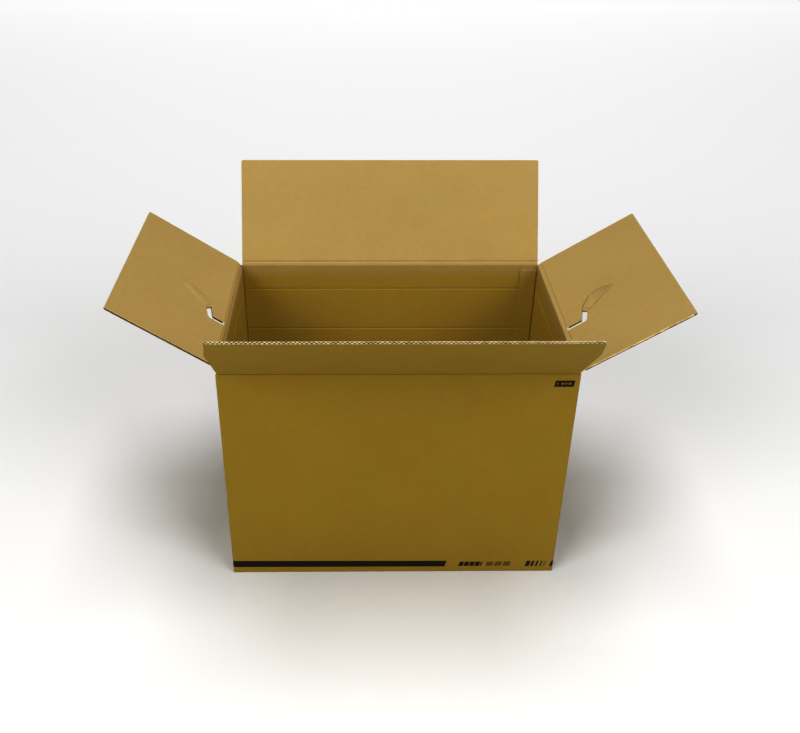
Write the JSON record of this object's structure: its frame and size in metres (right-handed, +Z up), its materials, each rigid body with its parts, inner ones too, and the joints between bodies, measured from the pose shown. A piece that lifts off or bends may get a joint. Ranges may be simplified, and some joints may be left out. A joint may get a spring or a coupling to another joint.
{
  "type": "open cardboard box",
  "caption": "Slotted carton of corrugated board, glued and taped into a box, whose hinged top flaps stand open; each short flap has a cut hook slot.",
  "frame": {"origin": "centre of the underside, on the floor", "axes": "+X along the long side, +Y to the back, +Z up; the front wall is at -Y"},
  "size_m": [0.9455, 0.6648, 0.6223],
  "materials": {
    "kraft_board": "matt brown kraft liner on fluted board",
    "kraft_tape": "smooth brown paper tape"
  },
  "bodies": {
    "carton": {"carton_body": "kraft_board", "bottom_tape": "kraft_tape"},
    "front_flap": {"front_flap": "kraft_board"},
    "back_flap": {"back_flap": "kraft_board"},
    "left_flap": {"left_flap": "kraft_board"},
    "right_flap": {"right_flap": "kraft_board"}
  },
  "joints": [
    {"name": "front_flap_fold", "type": "hinge", "parent": "carton", "child": "front_flap", "pos_m": [0, -0.2082, 0.441], "axis": [-1, 0, 0], "range_deg": [-133.7, 136.3]},
    {"name": "back_flap_fold", "type": "hinge", "parent": "carton", "child": "back_flap", "pos_m": [0, 0.2082, 0.441], "axis": [1, 0, 0], "range_deg": [-150.8, 119.2]},
    {"name": "left_flap_fold", "type": "hinge", "parent": "carton", "child": "left_flap", "pos_m": [-0.3002, 0, 0.4366], "axis": [0, 1, 0], "range_deg": [-123.2, 146.8]},
    {"name": "right_flap_fold", "type": "hinge", "parent": "carton", "child": "right_flap", "pos_m": [0.3002, 0, 0.4366], "axis": [0, -1, 0], "range_deg": [-122.4, 147.6]}
  ]
}
